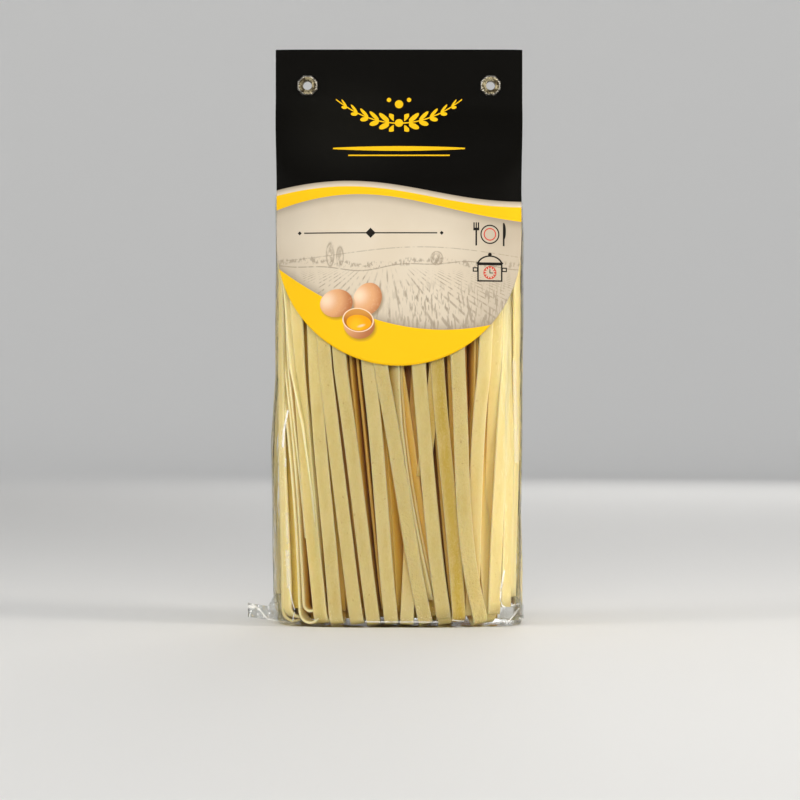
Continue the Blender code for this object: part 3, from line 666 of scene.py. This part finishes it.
# A crumpled ear of film: x by the outline, z between its lower and upper edge, y by sharp folds.
# Its data is 1 along the cut edge, where the film is painted darker as shade.
def earSheet(outline, seed, swell, baseY, columns=90, rows=44):
    i, j = np.meshgrid(np.linspace(0, 1, columns), np.linspace(0, 1, rows))
    stations = np.arange(len(outline))
    x, low, high = (np.interp(i * stations[-1], stations, edge) for edge in np.array(outline).T)
    z = low + (high - low) * j
    y = baseY + swell * ease(i * 2.2) * crumple(x / 4.2, z / 3.6, seed, 7) + 3 * i * (j - 0.5)
    x = x + 0.5 * crumple(z / 2.6, x / 5, seed + 1) * ease(i * 2)
    z = z + 0.35 * crumple(x / 3, z / 6, seed + 2) * ease(i * 2) * (j > 0.1)
    data = np.ones((rows, columns, 4))
    data[..., 2] = np.maximum(ease((i - 0.975) / 0.02), ease((np.abs(j - 0.5) - 0.475) / 0.02))
    points = np.stack([x, y, np.maximum(z, 0.1)], -1).reshape(-1, 3)
    return points, gridQuads(rows, columns), data.reshape(-1, 4)


# Sheets of points, quads and data as one
def joinSheets(*sheets):
    points, quads, data = zip(*sheets)
    starts = np.cumsum([0] + [len(part) for part in points])
    moved = [part + start for part, start in zip(quads, starts)]
    return np.concatenate(points), np.concatenate(moved), np.concatenate(data)


# Only the film near the front's glares carries the material that draws them
def filmPieces():
    plain = filmMaterial("clear film", film["skin"])
    glary = filmMaterial("film with painted glares", film["skin"], film["glares"])
    earFilm = filmMaterial("crumpled film", film["ear"], film["earGlares"])
    shell, right = filmShell(), earSheet(film["rightEar"], 44, 1.7, -4.5)
    right[0][:, 1] += np.interp(right[0][:, 0], (45.5, 50, 57.2), (-16.5, -9, 0))
    points, quads, data = joinSheets(shell, right)
    bagFilm = meshPiece("bagFilm", points, quads.tolist(), [plain, glary, earFilm], data)
    x, y, z = points[quads].mean(1).T
    slots = ((y < -7) & ((np.abs(x) > 44) & (z < 130) | (z < 5))).astype(int)
    slots[len(shell[1]):] = 2
    bagFilm.data.polygons.foreach_set("material_index", slots)
    layers = (earSheet(film["leftEar"], seed, 1.5, place) for seed, place in ((60, -2.4), (61, -1.5)))
    points, quads, data = joinSheets(*layers)
    return bagFilm, meshPiece("seamFlag", points, quads.tolist(), [earFilm], data)


card = {
    "thick": 0.45, "clearance": 0.4, "standOff": 1.3, "standReach": 30, "topHalfWidth": 56.7,
    "arcRadius": 55.2, "low": 118, "extraWidth": 4.2, "columns": 96, "rows": 112, "foldSteps": 9,
    "foldZ": 262.55, "softening": (-5, -2.5, 0, 2.5, 5), "loose": 0.22, "hole": 3.3,
    "waveMiddle": 196.8, "waveHeight": 4.5, "waveCrest": -23, "waveHalf": 73, "paleBand": 2.5,
    "yellowBand": 3.2, "bandGrowth": 0.0011, "sweepLow": 134.3, "sweepX": 20, "sweepGrowth": 0.005,
    "horizon": 163, "rulePlace": (-12.8, 177.8), "platePlace": (41, 177.3), "potPlace": (41, 160),
    "eggs": ((-14.2, 148, 6.2, 7.6, -26), (-28.2, 146.2, 7.4, 6.2, 14)),
    "sprigStep": 4.6, "sprigLean": 38,
}
ink = {
    "black": (0.0026, 0.0023, 0.0016), "blackLight": (0.007, 0.0066, 0.005), "yellow": (0.9, 0.53, 0.01),
    "pale": (0.75, 0.68, 0.565), "cream": (0.675, 0.582, 0.45), "creamShade": (0.27, 0.215, 0.155),
    "stroke": (0.33, 0.27, 0.2), "dark": (0.016, 0.014, 0.012), "red": (0.62, 0.05, 0.03),
    "shell": (0.74, 0.385, 0.185), "shellLight": (0.9, 0.68, 0.48), "shellShade": (0.45, 0.165, 0.065),
    "inside": (0.66, 0.3, 0.065), "insideShade": (0.42, 0.125, 0.015), "yolk": (0.86, 0.36, 0.012),
    "yolkLight": (0.9, 0.5, 0.02), "eggShadow": (0.2, 0.12, 0.04), "footEdge": (0.42, 0.3, 0.26),
    "board": (0.82, 0.8, 0.76), "boardShade": (0.66, 0.62, 0.55),
}


# How far a leaf's inner face lies from the middle plane, as the bag's section plus a clearance
# that grows where the card bends over the shoulder. It is a mean over a few heights, so no bend is sharp.
def cardDepth(x, z):
    depth = 0
    for step in card["softening"]:
        a, b, n, _ = bagSection(z + step)
        depth = depth + b * np.maximum(1 - np.abs(x / (a + card["extraWidth"])) ** n, 0) ** (1 / n)
    shoulder = 1 - ease(np.abs(z - bag["shoulder"]) / card["standReach"])
    return depth / len(card["softening"]) + card["clearance"] + card["standOff"] * shoulder


# Columns follow x = -R cos(turn), so each one ends on the round foot; rows run up the front leaf,
# round the fold and down the back leaf
def cardPiece(front, edge):
    turn = np.linspace(0, np.pi, card["columns"] + 1)
    low = card["low"] + card["arcRadius"] * (1 - np.sin(turn))
    z = low + (card["foldZ"] - low) * np.linspace(0, 1, card["rows"])[:, None]
    gable = ease((z - bag["shoulder"]) / (bag["flatTop"] - bag["shoulder"]))
    x = -np.cos(turn) * mix(card["arcRadius"], card["topHalfWidth"], gable)
    depth = cardDepth(x, z)
    loose = ease((card["foldZ"] - z) / 60) * card["loose"]
    leaf = np.stack([x, -(depth + loose * (1 + softNoise(x / 22, z / 18, 71)) * 0.5), z], -1)
    rear = np.stack([x, depth + loose * (1 + softNoise(x / 20, z / 17, 72)) * 0.5, z], -1)[::-1]
    over = np.linspace(0, np.pi, card["foldSteps"] + 2)[1:-1, None]
    endX, endY, endZ = leaf[-1].T
    fold = np.stack([endX + 0 * over, endY * np.cos(over), endZ + np.abs(endY) * np.sin(over)], -1)
    points = np.concatenate([leaf, fold, rear])
    quads = gridQuads(len(points), card["columns"] + 1)
    points = points.reshape(-1, 3)
    quads = withoutHoles(points, quads, card["hole"])
    made = meshPiece("headerCard", points, quads.tolist(), [front, edge])
    board = made.modifiers.new("board", "SOLIDIFY")
    board.thickness = card["thick"] * 0.001
    board.offset = 1
    board.material_offset = 1  # the unprinted inner face
    board.material_offset_rim = 1
    return made


# The card's print so far. Shapes are distances in millimetres, below zero inside; x runs right and z up.
class Page:
    def __init__(self, place, x, y, z):
        self.x, self.z, self.colour = x, z, ink["cream"]
        self.frontLeaf = (-y).ease(-0.1, 0.1)
        self.cloud = noiseField(place, (38, 38, 30), 3)
        self.grain = noiseField(place, (900, 900, 900), 2)

    def disc(self, cx, cz, r):
        return (self.x - cx).hypot(self.z - cz) - r

    def box(self, cx, cz, hx, hz):
        return ((self.x - cx).abs() - hx).most((self.z - cz).abs() - hz)

    # |(x/a, z/b)| - 1 scaled to the smaller half axis, turned by cos and sin of its lean
    def egg(self, cx, cz, a, b, lean=0):
        c, s = np.cos(np.radians(lean)), np.sin(np.radians(lean))
        dx, dz = self.x - cx, self.z - cz
        return (((dx * c + dz * s) / a).hypot((dz * c - dx * s) / b) - 1) * min(a, b)

    # The next tone over what is there, on the front leaf alone or on both
    def paint(self, mask, tone, frontOnly=True):
        mask = mask * self.frontLeaf if frontOnly else mask
        self.colour = blend(mask, self.colour, ink.get(tone, tone))


# Cream field: clouded, and shaded under the band, above the yellow foot and towards both sides
def printField(page, underBand, foot):
    band = (1 - underBand.ease(-1, 4.5)) * 0.55 + (1 - underBand.ease(0, 16)) * 0.16
    rise = (1 - foot.ease(-1, 5)) * 0.5 + (1 - foot.ease(0, 14)) * 0.12
    page.paint(page.cloud.ease(0.35, 0.7) * 0.3, "pale", False)
    for shade in (band, rise, (page.x + 8).abs().ease(24, 60) * 0.36):
        page.paint(shade, "creamShade", False)


# An engraved land in strokes broken up by noise: furrows that fan out from a low horizon, grass,
# the horizon's ridge, a hill, a hedge and three trees
def printLand(page, place):
    x, z, low = page.x, page.z, card["horizon"] - page.z
    broken = noiseField(place, (520, 520, 160), 3, 0.6, (2, 5, 1))
    blade = noiseField(place, (1050, 1050, 190), 2, 0.5, (7, 3, 3))
    tuft = noiseField(place, (800, 800, 420), 3, 0.6, (4, 4, 9))
    furrow = ((x + 6) / (low.most(0.6) + 9) * 34 + (page.cloud - 0.5) * 3).sin()
    grass = (x + 14).ease(0, 26) * (157 - z).ease(-2, 9)
    ridge = (-low - (x * 0.07).sin() * 1.6 - (x * 0.19).cos() * 0.7).abs() - 0.22
    hill = (z - 168.5 - ((x - 10) * 0.045).cos() * 3).abs() - 0.16
    hedge = (-low - 1.4 - (x * 0.11).sin() * 1.2).abs() - 1.2 - (x * 0.43).sin() * 0.5
    trees = page.egg(-31, 168, 1.7, 5).least(page.egg(-26.6, 167.2, 1.5, 4.2))
    trees = trees.least(page.egg(17, 166.4, 2.6, 3))
    for mask in (
        furrow.ease(0.35, 0.95) * broken.ease(0.4, 0.62) * low.ease(0, 5) * 0.75,
        blade.ease(0.52, 0.6) * grass * 0.7,
        ridge.inside(0.35) * broken.ease(0.28, 0.5) * 0.85,
        hill.inside(0.3) * broken.ease(0.34, 0.56) * 0.7,
        hedge.inside(0.9) * tuft.ease(0.48, 0.6) * 0.7,
        trees.inside(1.2) * tuft.ease(0.36, 0.56) * 0.6,
        (trees.abs() - 0.16).inside(0.3) * broken.ease(0.3, 0.5) * 0.7,
    ):
        page.paint(mask, "stroke")


# A plain rule with a diamond in its middle and at both ends
def printRule(page, px, pz):
    across, up = (page.x - px).abs(), (page.z - pz).abs()
    ends = (across - 32).abs() + up - 0.9
    page.paint(page.box(px, pz, 30, 0.28).least(across + up - 2.3).least(ends).inside(), "dark")


# A plate between fork and knife
def printPlate(page, px, pz):
    x, disc, box = page.x, page.disc, page.box
    fork = box(px - 6.2, pz - 1.4, 0.38, 3.7).least(box(px - 6.2, pz + 2.3, 1.35, 0.6))
    tines = (((x - px + 6.2).abs() - 1).abs() - 0.3).most(box(px - 6.2, pz + 3.8, 1.4, 1.5))
    fork = fork.least(tines).least(box(px - 6.2, pz + 3.8, 0.28, 1.5))
    knife = page.egg(px + 6.3, pz + 1.4, 1, 3.9).most(px + 5.9 - x)
    knife = knife.least(box(px + 6.3, pz - 2.6, 0.38, 2.6))
    page.paint((disc(px, pz, 4.05).abs() - 0.28).least(fork).least(knife).inside(), "dark")
    page.paint((disc(px, pz, 2.6).abs() - 0.24).inside(), "red")


# A pot with a lid and two handles, and a timer's dial on it
def printPot(page, px, pz):
    x, z, disc, box = page.x, page.z, page.disc, page.box
    pot = box(px, pz, 5.4, 3.7).abs() - 0.34
    lid = (page.egg(px, pz + 2.9, 5.7, 4.6).abs() - 0.32).most(pz + 4.3 - z)
    lid = lid.least(box(px, pz + 4.3, 6.1, 0.34)).least(disc(px, pz + 8.2, 0.85))
    ears = (((x - px).abs() - 6.6).abs() - 0.95).most((z - pz - 1.4).abs() - 0.75).abs() - 0.26
    hands = box(px, pz + 0.7, 0.2, 0.9).least(box(px + 0.6, pz - 0.1, 0.75, 0.2))
    page.paint(pot.least(lid).least(ears).least(hands).inside(), "dark")
    notch = ((x - px).math("ARCTAN2", z - pz) * 12).cos().ease(-0.1, 0.1)
    ring, notches = disc(px, pz, 2.75).abs() - 0.2, disc(px, pz, 2.25).abs() - 0.42
    page.paint(ring.inside().most(notches.inside() * notch), "red")


# A whole egg over its shadow, shaded by how far a point lies from a light spot
def printEgg(page, cx, cz, a, b, lean):
    page.paint(page.egg(cx + 0.7, cz - 1, a * 1.01, b * 1.01, lean).inside(1.3) * 0.6, "eggShadow")
    lit = page.disc(cx - a * 0.62, cz + b * 0.22, 0) / (1.9 * min(a, b))
    tone = blend(lit.ease(0, 0.55), ink["shellLight"], ink["shell"])
    tone = blend(lit.ease(0.5, 1), tone, ink["shellShade"])
    tone = blend(page.grain.ease(0.5, 0.8) * 0.15, tone, ink["shellLight"])
    page.paint(page.egg(cx, cz, a, b, lean).inside(0.12), tone)


# A half egg over its shadow: shell, rim, inner wall and yolk with a light spot
def printHalfEgg(page, lean=-8):
    egg, paint = page.egg, page.paint
    paint(egg(-17.4, 135.4, 7.2, 6.2, lean).inside(1.5) * 0.6, "eggShadow")
    tone = blend((page.disc(-23, 138, 0) / 13).ease(0.1, 0.9), ink["shell"], ink["shellShade"])
    paint(egg(-17.9, 136.6, 7, 6.4, lean).inside(0.12), tone)
    rimHighlight = egg(-18.4, 138.6, 7.1, 5.4, lean)
    paint(rimHighlight.inside(0.12), "shellLight")
    tone = blend((page.z - 138.6).ease(-2, 4.6), ink["insideShade"], ink["inside"])
    paint((rimHighlight + 0.42).inside(0.15), tone)
    tone = blend((page.disc(-19.4, 136.4, 0) / 5.4).ease(0.1, 1), ink["yolkLight"], ink["yolk"])
    tone = blend(egg(-17, 136, 1.5, 0.5, 16).inside(0.5) * 0.7, tone, ink["shellLight"])
    paint(egg(-18, 137.2, 5.7, 3.7, lean).most(rimHighlight + 0.6).inside(0.3), tone)


# Two grain sprigs that meet over a row of rules: leaves are ellipses at each step, leaning outwards
def printSprigs(page):
    x, z, u, step = page.x, page.z, page.x.abs(), card["sprigStep"]
    v = z - 229.5 - u * u * 0.0135
    local = u - (u / step).math("FLOOR") * step - step * 0.5
    size = (1 - u / 44).most(0.2)
    c, s = np.cos(np.radians(card["sprigLean"])), np.sin(np.radians(card["sprigLean"]))
    away = v.abs() - size * 2.5
    leaf = ((local * c + away * s) / (size * 3.5)).hypot((away * c - local * s) / (size * 1.35))
    leaf = ((leaf - 1) * 1.2).most(u - step * 6).most(2.4 - u)
    stem = (v.abs() - 0.3).most(u - step * 6.3)
    rules = ((z - 217).abs() - (1.15 - x * x * 0.0009)).most(u - 30)
    rules = rules.least(((z - 213.6).abs() - 0.32).most(u - 23))
    beads = page.disc(0, 238.6, 1.9).least(page.disc(0, 229.6, 1.9))
    beads = beads.least((u - 4.6).hypot(z - 240.6) - 1)
    page.paint(leaf.least(stem).least(rules).least(beads).inside(0.1), "yellow")


# Fields of colour on both leaves: a black top with a wave, a pale line, a yellow band, the cream field
# and a yellow foot. The drawn things are on the front leaf.
def cardPrint():
    made, place, (x, y, z) = newMaterial("printed card")
    page = Page(place, x, y, z)
    paint = page.paint
    wave = ((x - card["waveCrest"]) * (np.pi / card["waveHalf"])).cos()
    wave = wave * card["waveHeight"] + card["waveMiddle"]
    bandTop = wave - card["paleBand"]
    bandLow = bandTop - card["yellowBand"] - x * x * card["bandGrowth"]
    across = x - card["sweepX"]
    foot = z - (across * across * card["sweepGrowth"] + card["sweepLow"])
    printField(page, bandLow - z, foot)
    printLand(page, place)
    printRule(page, *card["rulePlace"])
    printPlate(page, *card["platePlace"])
    printPot(page, *card["potPlace"])
    paint(foot.inside(0.1), "yellow", False)
    paint((foot.abs() - 0.1).inside(0.12) * 0.35, "footEdge", False)
    for shape in card["eggs"]:
        printEgg(page, *shape)
    printHalfEgg(page)
    paint((bandLow - z).inside(0.1), "yellow", False)
    tone = blend((1 - (wave - z).ease(-0.3, 2.4)) * 0.75, ink["cream"], ink["creamShade"])
    paint((bandTop - z).inside(0.1), tone, False)
    black = (wave - z).inside(0.12)
    glow = ((x + 22) * (x + 22) * 0.6 + (z - 226) * (z - 226)).root()
    paint(black, "black", False)
    paint(black * (1 - glow.ease(6, 30)) * 0.8, "blackLight")
    printSprigs(page)
    fibre = noiseField(place, (420, 420, 420), 4, 0.6, (1, 8, 4))
    principled(place.tree, {
        "Base Color": page.colour, "Specular IOR Level": 0.04, "Roughness": 0.5 + page.grain * 0.14,
        "Normal": bump(fibre, 0.1, 0.0002),
    })
    return made


def boardMaterial():
    made, place, _ = newMaterial("card edge")
    fibre = noiseField(place, (1600, 1600, 700), 3)
    principled(place.tree, {"Base Color": blend(fibre, ink["board"], ink["boardShade"]), "Roughness": 0.8})
    return made


eyelet = {
    "x": 42.1, "z": 247.2, "bore": 2, "flange": 4.75, "seat": 1.46, "crown": 2.82, "lobes": 13,
    "steps": 208, "sides": 8,
    # The last tone is a painted highlight, pale and bluish, round the outer edge
    "brass": (0.3, 0.255, 0.155), "dull": (0.06, 0.045, 0.024), "paleHighlight": (0.5, 0.48, 0.43),
}


# Brass mottled dark by a patina, with a painted pale highlight round its outer edge
def brassMaterial():
    made, place, (x, y, z) = newMaterial("antique brass")
    patina = noiseField(place, (520, 520, 520), 3, 0.55)
    radius = (x.abs() - eyelet["x"]).hypot(z - eyelet["z"])
    # painted highlight towards the outer edge
    rimHighlight = radius.ease(eyelet["flange"] - 1, eyelet["flange"] - 0.5) * 0.8
    colour = blend(patina.ease(0.42, 0.6), eyelet["brass"], eyelet["dull"])
    principled(place.tree, {
        "Base Color": blend(rimHighlight, colour, eyelet["paleHighlight"]), "Metallic": 1, "Roughness": 0.26 + patina * 0.2,
        "Normal": bump(patina, 0.5, 0.0004),
    })
    return made


# Turned profile (radius, height, share) on both faces. The share says how far a ring follows the
# eight-sided outline, cos(22.5 deg) / cos(angle from the nearest flat), and how deep the lobes pinch it.
def eyeletPiece(name, side, brass):
    seat, crown, bore, flange = eyelet["seat"], eyelet["crown"], eyelet["bore"], eyelet["flange"]
    profile = np.array([
        (bore, 0, 0), (bore, 0.9, 0), (bore + 0.02, seat, 0), (bore + 0.12, crown - 0.22, 0),
        (bore + 0.32, crown - 0.05, 0), (bore + 0.55, crown, 0), (bore + 0.8, crown - 0.14, 0.05),
        (bore + 0.98, crown - 0.34, 0.15), (bore + 1.2, crown - 0.26, 0.5), (bore + 1.5, crown - 0.1, 0.9),
        (bore + 1.85, crown - 0.14, 1), (bore + 2.2, crown - 0.4, 1), (bore + 2.5, crown - 0.78, 0.9),
        (flange, seat + 0.22, 1), (flange - 0.12, seat, 1), (bore + 0.75, seat, 0), (bore + 0.5, 0.9, 0),
    ])
    profile = np.concatenate([profile, (profile * (1, -1, 1))[:0:-1]])
    radius, height, share = profile.T[..., None]
    angle = np.linspace(0, 2 * np.pi, eyelet["steps"], endpoint=False)
    wobble = 0.1 * np.sin(angle * 3 + side) + 0.08 * np.sin(angle * 7 + 2)
    flat = np.pi / eyelet["sides"]
    outline = np.cos(flat) / np.cos(np.mod(angle + flat, 2 * flat) - flat)
    pinch = 1 - np.abs(np.sin(angle * eyelet["lobes"] / 2 + 0.5 + side + wobble * 4)) ** 0.6
    r = radius * (1 - share * (1 - outline * 1.07)) - share * 0.05 * pinch
    lift = np.maximum(np.abs(height) - seat, 0) * np.sign(height) * share
    points = np.stack([side * eyelet["x"] + r * np.cos(angle), height - 0.45 * lift * pinch,
                       eyelet["z"] + r * np.sin(angle)], -1)
    quads = gridQuads(len(profile) + 1, eyelet["steps"], True) % (len(profile) * eyelet["steps"])
    return meshPiece(name, points, quads.tolist(), [brass])


studio = {
    "cameraPlace": (0.00045, -1.228, 0.1026), "lens": 120, "sensor": 36,
    "floor": (0.8, 0.8, 0.79), "flat": 2.4, "curve": 1.2, "wall": 1.4, "wallGlow": 0.17,
    "world": (0.93, 0.95, 1), "worldStrength": 0.17, "aim": (0, 0, 0.13),
    "leftBox": ((-0.98, -0.36, 0.42), (0.3, 1), 4.4, (1, 0.98, 0.95)),
    "rightBox": ((0.95, -0.4, 0.42), (0.3, 1), 6.9, (1, 0.95, 0.87)),
    "frontBox": ((0, -1.9, 0.75), (1.2, 0.8), 14.8, (1, 0.99, 0.97)),
    "topBox": ((0, -0.1, 1.35), (0.9, 0.9), 3, (1, 1, 1)),
    "backBox": ((0.5, 1.9, 0.9), (1, 0.8), 8, (1, 0.98, 0.95)),
}


# A round floor that curves up into a wall far off; the wall glows with painted light, an emission that
# grows with distance, so every view has the same pale ground
def studioFloor():
    turn = np.linspace(0, 0.5 * np.pi, 16)
    flat, curve = studio["flat"], studio["curve"]
    r = np.concatenate([[0.02, 0.3, 1, 1.8], flat + curve * np.sin(turn), [flat + curve]])[:, None]
    z = np.concatenate([[0] * 4, curve * (1 - np.cos(turn)), [curve + studio["wall"]]])[:, None]
    angle = np.linspace(0, 2 * np.pi, 128, endpoint=False)
    points = np.stack([r * np.cos(angle), r * np.sin(angle), z + 0 * angle], -1) * 1000
    quads = gridQuads(len(r), len(angle), True).tolist() + [list(range(len(angle)))]
    made, place, (x, y, _) = newMaterial("pale floor")
    glow = x.hypot(y).ease(1300, 2900) * studio["wallGlow"]
    principled(place.tree, {
        "Base Color": studio["floor"], "Roughness": 0.7, "Specular IOR Level": 0.2,
        "Emission Color": (1, 1, 1), "Emission Strength": glow,
    })
    floor = meshPiece("studioFloor", points, quads, [made])


def softbox(name, place, size, power, colour):
    lamp = bpy.data.lights.new(name, "AREA")
    lamp.shape = "RECTANGLE"
    lamp.size, lamp.size_y = size
    lamp.energy = power
    lamp.color = colour
    made = addObject(name, lamp)
    made.location = place
    aim = np.array(studio["aim"]) - np.array(place)
    made.rotation_euler = Vector(aim).to_track_quat("-Z", "Y").to_euler()


def studioLight():
    world = bpy.data.worlds.new("studio air")
    world.use_nodes = True
    back = world.node_tree.nodes["Background"]
    back.inputs["Color"].default_value = (*studio["world"], 1)
    back.inputs["Strength"].default_value = studio["worldStrength"]
    bpy.context.scene.world = world
    for name in ("leftBox", "rightBox", "frontBox", "topBox", "backBox"):
        softbox(name, *studio[name])


def studioCamera():
    lens = bpy.data.cameras.new("camera")
    lens.lens = studio["lens"]
    lens.sensor_width = studio["sensor"]
    lens.clip_start, lens.clip_end = 0.05, 20
    camera = addObject("camera", lens)
    camera.location = studio["cameraPlace"]
    camera.rotation_euler = (0.5 * np.pi, 0, 0)
    bpy.context.scene.camera = camera


bpy.context.scene.view_settings.view_transform = "Standard"
dough = doughMaterial()
outer, inner = outerStrands(dough), innerStrands(dough)
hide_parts("pasta_bag")
bagFilm, seamFlag = filmPieces()
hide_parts("bag_top")
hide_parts("seam_end")
headerCard = cardPiece(cardPrint(), boardMaterial())
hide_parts("header_card")
brass = brassMaterial()
leftEyelet, rightEyelet = eyeletPiece("leftEyelet", -1, brass), eyeletPiece("rightEyelet", 1, brass)
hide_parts("eyelet_left")
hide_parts("eyelet_right")
for piece, finish in (
    (outer, "egg_pasta"), (inner, "egg_pasta"), (bagFilm, "clear_film"), (seamFlag, "clear_film"),
    (headerCard, "printed_card"), (leftEyelet, "antique_brass"), (rightEyelet, "antique_brass"),
):
    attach(piece, "root")
studioFloor()
studioLight()
studioCamera()
